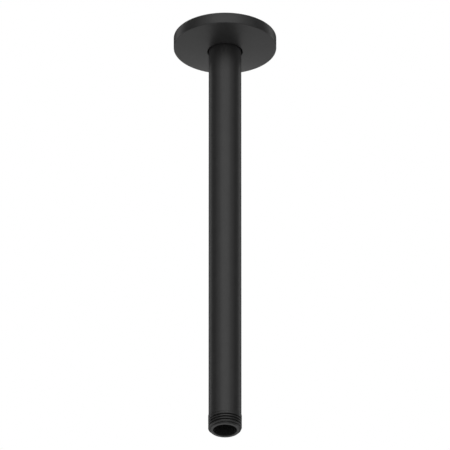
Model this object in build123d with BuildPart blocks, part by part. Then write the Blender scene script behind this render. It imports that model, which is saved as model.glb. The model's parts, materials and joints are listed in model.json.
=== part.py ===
import os

from build123d import *

# Straight shower arm for a ceiling, with the slip-on flange that hides the hole. Millimetres.
# The origin is on the tube's axis in the plane of the ceiling, and +Z points up into the ceiling.

# Arm, turned from heavy brass tube
arm_length = 293.5
length_above_ceiling = 12.0
tube_diameter = 20.5
bore_diameter = 14.7
bore_edge_chamfer = 0.25

# G 1/2 pipe threads, as plain lands at their major diameter
thread_diameter = 20.955
inlet_thread_length = 11.0
outlet_thread_length = 10.2
thread_end_chamfer = 1.4

# Flange: a rim that meets the ceiling, and a shallow cone from the rim down to the hole
flange_diameter = 64.5
rim_height = 7.2
cone_height = 2.8
hole_gap = 0.75
rim_wall = 2.0
face_wall = 1.8
hub_wall = 2.0
hub_recess = 1.2
rim_edge_radius = 0.3
hole_edge_radius = 0.3
hollow_corner_bevel = 0.8

# Square-cut rubber ring that grips the tube, in a groove inside the flange's hub
ring_width = 2.0
ring_depth = 1.8
ring_edge_chamfer = 0.3
ring_grip_clearance = 0.04
groove_clearance = 0.08

# Arm: ends and radii, with the chamfers held to what the wall at the end can take
inlet_z = length_above_ceiling
outlet_z = inlet_z - arm_length
tube_radius = tube_diameter / 2
bore_radius = bore_diameter / 2
thread_radius = thread_diameter / 2
end_wall = thread_radius - bore_radius
thread_chamfer = min(thread_end_chamfer, end_wall / 2)
bore_chamfer = min(bore_edge_chamfer, end_wall / 4)

# Flange and ring: the hub is built outwards from the tube, and the ring sits halfway up it
flange_radius = flange_diameter / 2
rim_inner_radius = flange_radius - rim_wall
hole_radius = tube_radius + hole_gap
ring_radius = tube_radius + ring_grip_clearance
groove_radius = ring_radius + ring_depth + groove_clearance
groove_width = ring_width + 2 * groove_clearance
hub_radius = groove_radius + hub_wall
rim_z = -rim_height
nose_z = rim_z - cone_height
hub_top_z = -hub_recess
ring_z = (hub_top_z + nose_z) / 2


def floor_z(radius):
    """Height of the hollow's floor at this radius, one wall above the flange's cone."""
    slope = cone_height / (flange_radius - hole_radius)
    return rim_z - slope * (flange_radius - radius) + face_wall


def corner(section, radius, z):
    """The section's corner nearest to this radius and height."""
    return section.vertices().sort_by_distance((radius, z))[0]


# Arm tube: one turned section, with a thread land standing a little proud at each end
with BuildPart() as arm_tube:
    with BuildSketch(Plane.XZ) as tube_section:
        with BuildLine():
            Polyline(
                (bore_radius, outlet_z),
                (thread_radius, outlet_z),
                (thread_radius, outlet_z + outlet_thread_length),
                (tube_radius, outlet_z + outlet_thread_length),
                (tube_radius, inlet_z - inlet_thread_length),
                (thread_radius, inlet_z - inlet_thread_length),
                (thread_radius, inlet_z),
                (bore_radius, inlet_z),
                close=True,
            )
        make_face()
        for end_z in (outlet_z, inlet_z):
            chamfer(corner(tube_section, thread_radius, end_z), length=thread_chamfer)
            chamfer(corner(tube_section, bore_radius, end_z), length=bore_chamfer)
    revolve(axis=Axis.Z)

# Flange: hollow behind, open to the ceiling, with a grooved hub round the tube
with BuildPart() as flange:
    with BuildSketch(Plane.XZ) as flange_section:
        with BuildLine():
            Polyline(
                (hole_radius, nose_z),
                (flange_radius, rim_z),
                (flange_radius, 0),
                (rim_inner_radius, 0),
                (rim_inner_radius, floor_z(rim_inner_radius)),
                (hub_radius, floor_z(hub_radius)),
                (hub_radius, hub_top_z),
                (hole_radius, hub_top_z),
                close=True,
            )
        make_face()
        fillet(corner(flange_section, flange_radius, rim_z), radius=rim_edge_radius)
        fillet(corner(flange_section, hole_radius, nose_z), radius=hole_edge_radius)
        for wall_radius in (rim_inner_radius, hub_radius):
            hollow_corner = corner(flange_section, wall_radius, floor_z(wall_radius))
            chamfer(hollow_corner, length=hollow_corner_bevel)
        with Locations((hole_radius, ring_z)):
            Rectangle(
                groove_radius - hole_radius,
                groove_width,
                align=(Align.MIN, Align.CENTER),
                mode=Mode.SUBTRACT,
            )
    revolve(axis=Axis.Z)

# Rubber ring, with its four edges taken off
with BuildPart() as grip_ring:
    with BuildSketch(Plane.XZ) as ring_section:
        with Locations((ring_radius, ring_z)):
            Rectangle(ring_depth, ring_width, align=(Align.MIN, Align.CENTER))
        chamfer(ring_section.vertices(), length=ring_edge_chamfer)
    revolve(axis=Axis.Z)

arm_tube.part.label = "arm_tube"
flange.part.label = "flange"
grip_ring.part.label = "grip_ring"

os.makedirs("parts", exist_ok=True)
export_step(arm_tube.part, "parts/arm_tube.step")
export_step(flange.part, "parts/flange.step")
export_step(grip_ring.part, "parts/grip_ring.step")
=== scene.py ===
import json
import math

import bmesh
import bpy
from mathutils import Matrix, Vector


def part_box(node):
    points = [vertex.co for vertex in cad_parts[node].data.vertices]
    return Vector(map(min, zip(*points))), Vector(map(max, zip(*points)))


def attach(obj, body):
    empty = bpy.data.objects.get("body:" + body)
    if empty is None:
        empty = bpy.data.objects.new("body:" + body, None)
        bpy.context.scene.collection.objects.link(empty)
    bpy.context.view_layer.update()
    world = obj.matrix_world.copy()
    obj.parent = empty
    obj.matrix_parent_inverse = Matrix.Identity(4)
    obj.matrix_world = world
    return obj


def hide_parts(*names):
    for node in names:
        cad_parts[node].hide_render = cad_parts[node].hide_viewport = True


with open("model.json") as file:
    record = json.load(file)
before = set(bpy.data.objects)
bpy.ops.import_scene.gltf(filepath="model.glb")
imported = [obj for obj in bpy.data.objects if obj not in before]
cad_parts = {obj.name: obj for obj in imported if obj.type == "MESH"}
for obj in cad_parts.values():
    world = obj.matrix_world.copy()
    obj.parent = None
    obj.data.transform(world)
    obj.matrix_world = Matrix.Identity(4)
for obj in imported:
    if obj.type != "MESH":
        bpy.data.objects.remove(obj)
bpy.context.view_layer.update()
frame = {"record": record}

mm = 0.001  # the pieces' sizes are in mm, the studio's in metres
weld = mm * 1e-4  # vertices nearer than this become one
mounts = {mount["name"]: mount for mount in frame["record"]["mounts"]}


# tools for drawing an outline and turning it

def drawOutline(name, points):
    # drawn point by point from one vertex in the XZ plane, x the radius and z the height
    bpy.ops.object.select_all(action="DESELECT")
    radius, height = points[0]
    bpy.ops.mesh.primitive_plane_add(size=mm, location=(radius * mm, 0, height * mm))
    piece = bpy.context.object
    piece.name = name
    piece.data.name = name
    bpy.ops.object.transform_apply(location=True, rotation=False, scale=False)
    bpy.ops.object.mode_set(mode="EDIT")
    bpy.ops.mesh.select_all(action="SELECT")
    bpy.ops.mesh.merge(type="CENTER")
    for nextRadius, nextHeight in points[1:]:
        step = ((nextRadius - radius) * mm, 0, (nextHeight - height) * mm)
        bpy.ops.mesh.extrude_vertices_move(TRANSFORM_OT_translate={"value": step})
        radius, height = nextRadius, nextHeight
    bpy.ops.mesh.select_all(action="SELECT")
    bpy.ops.mesh.edge_face_add()
    return piece


def roundCorner(piece, corner, size, steps):
    # rounds the outline's vertex nearest to this corner
    shape = bmesh.from_edit_mesh(piece.data)
    place = (corner[0] * mm, 0, corner[1] * mm)
    nearest = min(shape.verts, key=lambda vert: math.dist(vert.co, place))
    bpy.ops.mesh.select_all(action="DESELECT")
    nearest.select_set(True)
    shape.select_flush(True)
    bmesh.update_edit_mesh(piece.data)
    bpy.ops.mesh.bevel(offset=size * mm, segments=steps, affect="VERTICES")


def turnOutline(piece, segments, turns=1, pitch=0):
    # carries the outline round the Z axis: once for a lathe,
    # or climbing by a pitch each turn for a thread
    bpy.ops.mesh.select_all(action="SELECT")
    bpy.ops.mesh.delete(type="ONLY_FACE")
    bpy.ops.object.mode_set(mode="OBJECT")
    screw = piece.modifiers.new("turn", "SCREW")
    screw.angle = math.tau * turns
    screw.screw_offset = pitch * turns * mm
    screw.steps = round(segments * turns)
    screw.render_steps = screw.steps
    screw.use_merge_vertices = pitch == 0
    screw.merge_threshold = weld
    bpy.ops.object.modifier_apply(modifier=screw.name)
    bpy.ops.object.mode_set(mode="EDIT")
    bpy.ops.mesh.select_all(action="SELECT")
    bpy.ops.mesh.fill_holes(sides=0)  # closes the two ends of a thread
    bpy.ops.mesh.select_all(action="SELECT")
    bpy.ops.mesh.normals_make_consistent(inside=False)
    bpy.ops.object.mode_set(mode="OBJECT")


def smoothPiece(piece, angle):
    # edges sharper than this angle in degrees stay crisp
    bpy.ops.object.select_all(action="DESELECT")
    piece.select_set(True)
    bpy.context.view_layer.objects.active = piece
    bpy.ops.object.shade_smooth_by_angle(angle=math.radians(angle))


# the arm: a turned brass tube with a pipe thread cut on each end
armLow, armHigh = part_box("arm_tube")
arm = {
    "inletZ": armHigh.z / mm,
    "outletZ": armLow.z / mm,
    "tubeRadius": 10.25,
    "boreRadius": mounts["waterway"]["dims"]["r_mm"],
    "boreChamfer": 0.25,
    "threadRadius": mounts["outlet_thread"]["dims"]["r_mm"],
    "threadChamfer": 1.4,
    "inletLand": 11.0,
    "outletLand": 10.2,
    "segments": 160,
    "smoothAngle": 15,
}
thread = {
    "pitch": 25.4 / 14,  # G 1/2 has 14 threads to the inch
    "depth": 1.16,
    "mouth": 1.15,  # width of the groove at the crests
    "root": 0.55,  # and at its bottom
    "rootRound": (0.15, 3),  # size and steps
    "crestRound": (0.1, 3),
    "proud": 0.25,  # how far the cutter stands out of the land
    "flare": 0.2,  # its wings over the crests, a hair clear of them
    "clear": 0.02,
    "leadIn": 1.2,  # it starts this far outside the end of the tube
    "runOut": 1.2,  # turns over which it leaves the metal
    "outletCut": (8.35, -145),  # length along the tube, and degrees that its start is turned by
    "inletCut": (9.2, 0),
    "segments": 96,
}


def cutThread(blank, endZ, direction, length, phase):
    # direction 1 cuts upwards from the lower end, -1 downwards from the upper end
    crest = arm["threadRadius"]
    inner = crest - thread["depth"]
    outer = crest + thread["proud"]
    wing = crest + thread["clear"]
    root = thread["root"] / 2
    mouth = thread["mouth"] / 2
    tip = mouth + thread["flare"]
    cutter = drawOutline("threadCutter", [
        (inner, -root), (crest, -mouth), (wing, -tip), (outer, -tip),
        (outer, tip), (wing, tip), (crest, mouth), (inner, root),
    ])
    for side in (-1, 1):
        roundCorner(cutter, (inner, side * root), *thread["rootRound"])
        roundCorner(cutter, (crest, side * mouth), *thread["crestRound"])
    turns = (length + thread["leadIn"]) / thread["pitch"]
    cornerCount = len(bmesh.from_edit_mesh(cutter.data).verts)
    turnOutline(cutter, thread["segments"], turns, thread["pitch"])
    # the last turn or so is drawn outwards, so that the groove runs out
    runSteps = round(thread["runOut"] * thread["segments"])
    vertices = cutter.data.vertices
    firstStep = len(vertices) // cornerCount - runSteps
    for step in range(runSteps):
        out = 1 + thread["depth"] / inner * (step + 1) / runSteps
        start = (firstStep + step) * cornerCount
        for vertex in vertices[start:start + cornerCount]:
            vertex.co.x *= out
            vertex.co.y *= out
    cutter.location.z = endZ * mm - direction * thread["leadIn"] * mm
    cutter.rotation_euler = (0 if direction > 0 else math.pi, 0, math.radians(phase))
    cut = blank.modifiers.new("thread", "BOOLEAN")
    cut.operation = "DIFFERENCE"
    cut.solver = "EXACT"
    cut.object = cutter
    bpy.context.view_layer.objects.active = blank
    bpy.ops.object.modifier_apply(modifier=cut.name)
    bpy.data.objects.remove(cutter)


def makeArm():
    chamfer = arm["threadChamfer"]
    bevel = arm["boreChamfer"]
    crest = arm["threadRadius"]
    tube = arm["tubeRadius"]
    bore = arm["boreRadius"]
    low = arm["outletZ"]
    high = arm["inletZ"]
    piece = drawOutline("shower_arm", [
        (bore + bevel, low),
        (crest - chamfer, low),
        (crest, low + chamfer),
        (crest, low + arm["outletLand"]),
        (tube, low + arm["outletLand"]),
        (tube, high - arm["inletLand"]),
        (crest, high - arm["inletLand"]),
        (crest, high - chamfer),
        (crest - chamfer, high),
        (bore + bevel, high),
        (bore, high - bevel),
        (bore, low + bevel),
    ])
    turnOutline(piece, arm["segments"])
    cutThread(piece, low, 1, *thread["outletCut"])
    cutThread(piece, high, -1, *thread["inletCut"])
    smoothPiece(piece, arm["smoothAngle"])
    return piece


# the flange: a hollow cover turned from brass, with a hub that holds the ring
_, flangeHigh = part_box("flange")
ringLow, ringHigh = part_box("grip_ring")
flange = {
    "radius": flangeHigh.x / mm,
    "rimHeight": 7.2,
    "coneHeight": 2.8,
    "holeRadius": 11.0,
    "rimWall": 2.0,
    "faceWall": 1.8,
    "hubRadius": 14.17,
    "hubTop": -1.2,
    "rimEdge": (0.3, 8),  # size and steps of each rounded edge
    "holeEdge": (0.3, 6),
    "backEdge": (0.1, 3),
    "hollowCorner": (0.8, 6),
    "grooveGap": 0.08,
    "segments": 192,
    "smoothAngle": 32,
}


def makeFlange():
    rim = flange["radius"]
    inside = rim - flange["rimWall"]
    hole = flange["holeRadius"]
    hub = flange["hubRadius"]
    hubTop = flange["hubTop"]
    rimZ = -flange["rimHeight"]
    noseZ = rimZ - flange["coneHeight"]
    slope = flange["coneHeight"] / (rim - hole)

    def floorZ(radius):
        # the hollow's floor lies one wall above the cone
        return rimZ - slope * (rim - radius) + flange["faceWall"]

    groove = ringHigh.x / mm + flange["grooveGap"]
    grooveLow = ringLow.z / mm - flange["grooveGap"]
    grooveHigh = ringHigh.z / mm + flange["grooveGap"]
    piece = drawOutline("ceiling_flange", [
        (hole, noseZ),
        (rim, rimZ),
        (rim, 0),
        (inside, 0),
        (inside, floorZ(inside)),
        (hub, floorZ(hub)),
        (hub, hubTop),
        (hole, hubTop),
        (hole, grooveHigh),
        (groove, grooveHigh),
        (groove, grooveLow),
        (hole, grooveLow),
    ])
    roundCorner(piece, (rim, rimZ), *flange["rimEdge"])
    roundCorner(piece, (hole, noseZ), *flange["holeEdge"])
    for wall in (inside, hub):
        roundCorner(piece, (wall, floorZ(wall)), *flange["hollowCorner"])
    for edge in ((rim, 0), (inside, 0), (hub, hubTop), (hole, hubTop)):
        roundCorner(piece, edge, *flange["backEdge"])
    turnOutline(piece, flange["segments"])
    smoothPiece(piece, flange["smoothAngle"])
    return piece


# the grip ring: square-cut rubber
ring = {
    "outerRadius": ringHigh.x / mm,
    "innerRadius": 10.26,  # all but on the tube, because the real ring is squeezed onto it
    "edge": (0.3, 4),  # size and steps
    "segments": 128,
    "smoothAngle": 32,
}


def makeRing():
    outer = ring["outerRadius"]
    inner = ring["innerRadius"]
    low = ringLow.z / mm
    high = ringHigh.z / mm
    corners = [(inner, low), (outer, low), (outer, high), (inner, high)]
    piece = drawOutline("grip_ring_rubber", corners)
    for corner in corners:
        roundCorner(piece, corner, *ring["edge"])
    turnOutline(piece, ring["segments"])
    smoothPiece(piece, ring["smoothAngle"])
    return piece


# materials
noiseSpan = {"From Min": 0.3, "From Max": 0.7}  # where most values of a noise texture lie
mixA, mixB, mixOut = 6, 7, 2  # a Mix node's sockets for colours


def colour(code):
    # sRGB hex to linear
    channels = [int(code[i:i + 2], 16) / 255 for i in (1, 3, 5)]
    return [c / 12.92 if c <= 0.04045 else ((c + 0.055) / 1.055) ** 2.4 for c in channels] + [1]


def addNode(tree, kind, settings={}, inputs={}, links={}):
    node = tree.nodes.new(kind)
    for name, value in settings.items():
        setattr(node, name, value)
    for name, value in inputs.items():
        node.inputs[name].default_value = value
    for name, socket in links.items():
        tree.links.new(socket, node.inputs[name])
    return node


def newMaterial(name):
    material = bpy.data.materials.new(name)
    material.use_nodes = True
    material.node_tree.nodes.clear()
    return material


coat = {
    "thin": "#272727",
    "thick": "#2f2f2f",
    "patch": 9.0,  # mm across the slow drift in tone
    "patchDetail": 3,
    "peel": 1.3,  # mm across the orange peel
    "peelDetail": 1,
    "peelHeight": 0.2,
    "peelStrength": 0.08,
    "grit": 0.35,  # mm, coarser than the real grain so that it shows
    "gritDetail": 2,
    "gritHeight": 0.05,
    "gritStrength": 0.3,
    "smooth": 0.34,  # roughness, from its smoothest to its dullest
    "dull": 0.42,
    "ior": 1.5,
}


def blackPowderCoat(name):
    # epoxy powder baked on brass: near black and satin, flowed level,
    # with a faint orange peel and fine grit
    material = newMaterial(name)
    tree = material.node_tree
    place = addNode(tree, "ShaderNodeTexCoord").outputs["Object"]
    patch = addNode(tree, "ShaderNodeTexNoise", links={"Vector": place},
                    inputs={"Scale": 1 / (coat["patch"] * mm), "Detail": coat["patchDetail"]})
    peel = addNode(tree, "ShaderNodeTexNoise", links={"Vector": place},
                   inputs={"Scale": 1 / (coat["peel"] * mm), "Detail": coat["peelDetail"]})
    grit = addNode(tree, "ShaderNodeTexNoise", links={"Vector": place},
                   inputs={"Scale": 1 / (coat["grit"] * mm), "Detail": coat["gritDetail"]})
    tone = addNode(tree, "ShaderNodeMix", settings={"data_type": "RGBA"},
                   inputs={mixA: colour(coat["thin"]), mixB: colour(coat["thick"])},
                   links={"Factor": patch.outputs["Fac"]})
    sheen = addNode(tree, "ShaderNodeMapRange", links={"Value": grit.outputs["Fac"]},
                    inputs={**noiseSpan, "To Min": coat["smooth"], "To Max": coat["dull"]})
    waves = addNode(tree, "ShaderNodeBump", links={"Height": peel.outputs["Fac"]},
                    inputs={"Strength": coat["peelStrength"], "Distance": coat["peelHeight"] * mm})
    grains = addNode(tree, "ShaderNodeBump",
                     inputs={"Strength": coat["gritStrength"], "Distance": coat["gritHeight"] * mm},
                     links={"Height": grit.outputs["Fac"], "Normal": waves.outputs["Normal"]})
    shader = addNode(tree, "ShaderNodeBsdfPrincipled", inputs={"IOR": coat["ior"]},
                     links={"Base Color": tone.outputs[mixOut], "Roughness": sheen.outputs["Result"],
                            "Normal": grains.outputs["Normal"]})
    addNode(tree, "ShaderNodeOutputMaterial", links={"Surface": shader.outputs["BSDF"]})
    return material


rubber = {
    "bare": "#121212",
    "bloom": "#1c1b1a",
    "patch": 1.2,  # mm across the patches of bloom
    "patchDetail": 4,
    "grain": 0.2,  # mm across the grain of the mould
    "grainDetail": 2,
    "grainHeight": 0.05,
    "grainStrength": 0.15,
    "smooth": 0.62,  # roughness, from its smoothest to its dullest
    "dull": 0.78,
    "ior": 1.52,
}


def nitrileRubber(name):
    # moulded nitrile: dull black, with a faint grey bloom
    material = newMaterial(name)
    tree = material.node_tree
    place = addNode(tree, "ShaderNodeTexCoord").outputs["Object"]
    patch = addNode(tree, "ShaderNodeTexNoise", links={"Vector": place},
                    inputs={"Scale": 1 / (rubber["patch"] * mm), "Detail": rubber["patchDetail"]})
    grain = addNode(tree, "ShaderNodeTexNoise", links={"Vector": place},
                    inputs={"Scale": 1 / (rubber["grain"] * mm), "Detail": rubber["grainDetail"]})
    tone = addNode(tree, "ShaderNodeMix", settings={"data_type": "RGBA"},
                   inputs={mixA: colour(rubber["bare"]), mixB: colour(rubber["bloom"])},
                   links={"Factor": patch.outputs["Fac"]})
    sheen = addNode(tree, "ShaderNodeMapRange", links={"Value": patch.outputs["Fac"]},
                    inputs={**noiseSpan, "To Min": rubber["smooth"], "To Max": rubber["dull"]})
    grains = addNode(tree, "ShaderNodeBump", links={"Height": grain.outputs["Fac"]},
                     inputs={"Strength": rubber["grainStrength"],
                             "Distance": rubber["grainHeight"] * mm})
    shader = addNode(tree, "ShaderNodeBsdfPrincipled", inputs={"IOR": rubber["ior"]},
                     links={"Base Color": tone.outputs[mixOut], "Roughness": sheen.outputs["Result"],
                            "Normal": grains.outputs["Normal"]})
    addNode(tree, "ShaderNodeOutputMaterial", links={"Surface": shader.outputs["BSDF"]})
    return material


# pieces on their bodies
armPiece = makeArm()
armPiece.data.materials.append(blackPowderCoat("armPowderCoat"))
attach(armPiece, "arm")
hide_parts("arm_tube")
print("arm", len(armPiece.data.polygons), "faces")

flangePiece = makeFlange()
flangePiece.data.materials.append(blackPowderCoat("flangePowderCoat"))
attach(flangePiece, "flange")
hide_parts("flange")
print("flange", len(flangePiece.data.polygons), "faces")

ringPiece = makeRing()
ringPiece.data.materials.append(nitrileRubber("nitrileRubber"))
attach(ringPiece, "grip_ring")
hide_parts("grip_ring")
print("grip ring", len(ringPiece.data.polygons), "faces")


# floor, light and camera
white = colour("#ffffff")
studio = {
    "floorZ": -1.0,
    "floorRadius": 0.6,
    "floorSides": 128,
    "floorTone": "#f0f0f0",
    "floorRoughness": 0.8,
    "floorGlow": 0.36,  # added for the camera alone, so that the floor meets the white background
    "background": 1.0,  # what the camera sees of the world
    "fill": 0.43,  # what lights the pieces from all round
    "dark": 0.035,  # what the coat mirrors where there is no card
    "cards": [
        # pale cards that the coat mirrors: direction, width across X, the cosines
        # off that direction at which they fade out and are full, radiance
        ("underCard", (0, 0.45, -0.893), 0.55, 0.1, 1.05, 0.69),
        ("frontCard", (0, -0.866, -0.5), 0.55, 0.75, 1.0, 0.6),
        ("leftCard", (-0.94, 0.252, -0.225), 1, 0.86, 1.0, 1.2),
        ("rightCard", (0.94, 0.252, -0.225), 1, 0.86, 1.0, 1.2),
        ("backCard", (0, 1, 0), 0.55, 0.97, 1.0, 1.0),
    ],
    "lamps": [
        # azimuth from the camera's side, elevation, distance, width, height, radiance
        ("topSoftbox", 0, 90, 2.0, 1.4, 1.4, 2.2),
        ("frontSoftbox", 0, 30, 2.0, 2.0, 1.4, 1.26),
        ("frontLeftWing", -45, 30, 2.0, 1.1, 1.4, 0.45),
        ("frontRightWing", 45, 30, 2.0, 1.1, 1.4, 0.45),
        ("leftStrip", -126, 30, 2.0, 0.75, 1.4, 0.6),
        ("rightStrip", 126, 30, 2.0, 0.75, 1.4, 0.6),
    ],
    "aimZ": -0.135,
}


def makeFloor():
    bpy.ops.object.select_all(action="DESELECT")
    bpy.ops.mesh.primitive_circle_add(vertices=studio["floorSides"], radius=studio["floorRadius"],
                                      fill_type="NGON", location=(0, 0, studio["floorZ"]))
    floor = bpy.context.object
    floor.name = "floor"
    material = newMaterial("paleFloor")
    tree = material.node_tree
    rays = addNode(tree, "ShaderNodeLightPath")
    glow = addNode(tree, "ShaderNodeMath", settings={"operation": "MULTIPLY"},
                   inputs={1: studio["floorGlow"]}, links={0: rays.outputs["Is Camera Ray"]})
    shader = addNode(tree, "ShaderNodeBsdfPrincipled",
                     inputs={"Base Color": colour(studio["floorTone"]),
                             "Roughness": studio["floorRoughness"], "Emission Color": white},
                     links={"Emission Strength": glow.outputs["Value"]})
    # clear from below, so that it doesn't hide the hanging arm
    under = addNode(tree, "ShaderNodeNewGeometry").outputs["Backfacing"]
    clear = addNode(tree, "ShaderNodeBsdfTransparent")
    oneSided = addNode(tree, "ShaderNodeMixShader",
                       links={0: under, 1: shader.outputs["BSDF"], 2: clear.outputs["BSDF"]})
    addNode(tree, "ShaderNodeOutputMaterial", links={"Surface": oneSided.outputs["Shader"]})
    floor.data.materials.append(material)


def makeLamps():
    for name, azimuth, elevation, distance, width, height, radiance in studio["lamps"]:
        turn = math.radians(azimuth)
        tilt = math.radians(elevation)
        place = (
            distance * math.sin(turn) * math.cos(tilt),
            -distance * math.cos(turn) * math.cos(tilt),
            studio["aimZ"] + distance * math.sin(tilt),
        )
        bpy.ops.object.light_add(type="AREA", location=place, rotation=(math.pi / 2 - tilt, 0, turn))
        lamp = bpy.context.object
        lamp.name = name
        lamp.data.shape = "RECTANGLE"
        lamp.data.size = width
        lamp.data.size_y = height
        lamp.data.energy = radiance * math.pi * width * height


def makeWorld():
    world = bpy.data.worlds.new("studio")
    bpy.context.scene.world = world
    world.use_nodes = True
    tree = world.node_tree
    tree.nodes.clear()
    rays = addNode(tree, "ShaderNodeLightPath")
    direction = addNode(tree, "ShaderNodeTexCoord").outputs["Generated"]
    # what the coat mirrors is dark all round, and each card lightens its part of it
    mirrored = addNode(tree, "ShaderNodeMath", settings={"operation": "MAXIMUM"},
                       inputs={0: studio["dark"], 1: studio["dark"]})
    for name, axis, width, fade, full, radiance in studio["cards"]:
        spread = addNode(tree, "ShaderNodeVectorMath", settings={"operation": "MULTIPLY"},
                         inputs={1: (1 / width, 1, 1)}, links={0: direction})
        across = addNode(tree, "ShaderNodeVectorMath", settings={"operation": "NORMALIZE"},
                         links={0: spread.outputs["Vector"]})
        towards = addNode(tree, "ShaderNodeVectorMath", settings={"operation": "DOT_PRODUCT"},
                          inputs={1: axis}, links={0: across.outputs["Vector"]})
        card = addNode(tree, "ShaderNodeMapRange",
                       settings={"interpolation_type": "SMOOTHSTEP", "label": name},
                       inputs={"From Min": fade, "From Max": full,
                               "To Min": studio["dark"], "To Max": studio["dark"] + radiance},
                       links={"Value": towards.outputs["Value"]})
        mirrored = addNode(tree, "ShaderNodeMath", settings={"operation": "MAXIMUM"},
                           links={0: mirrored.outputs["Value"], 1: card.outputs["Result"]})
    seen = addNode(tree, "ShaderNodeMath", settings={"operation": "MAXIMUM"},
                   links={0: rays.outputs["Is Camera Ray"], 1: rays.outputs["Is Transmission Ray"]})
    light = addNode(tree, "ShaderNodeMix", inputs={"A": studio["fill"]},
                    links={"Factor": rays.outputs["Is Glossy Ray"], "B": mirrored.outputs["Value"]})
    strength = addNode(tree, "ShaderNodeMix", inputs={"B": studio["background"]},
                       links={"Factor": seen.outputs["Value"], "A": light.outputs["Result"]})
    background = addNode(tree, "ShaderNodeBackground", inputs={"Color": white},
                         links={"Strength": strength.outputs["Result"]})
    addNode(tree, "ShaderNodeOutputWorld", links={"Surface": background.outputs["Background"]})


view = {
    "elevation": -29.5,
    "aimZ": -0.13483,
    "frameWidth": 0.2813,
    "distance": 12.51,  # far off, because the photograph shows no perspective
    "sensor": 36,
    "clipEnd": 100,
}


def makeCamera():
    tilt = math.radians(view["elevation"])
    away = view["distance"]
    place = (0, -away * math.cos(tilt), view["aimZ"] + away * math.sin(tilt))
    bpy.ops.object.camera_add(location=place, rotation=(math.pi / 2 - tilt, 0, 0))
    camera = bpy.context.object
    camera.data.sensor_width = view["sensor"]
    camera.data.lens = view["sensor"] * away / view["frameWidth"]
    camera.data.clip_end = view["clipEnd"]
    bpy.context.scene.camera = camera


makeFloor()
makeLamps()
makeWorld()
makeCamera()
bpy.context.scene.view_settings.view_transform = "Standard"
print("studio ready")
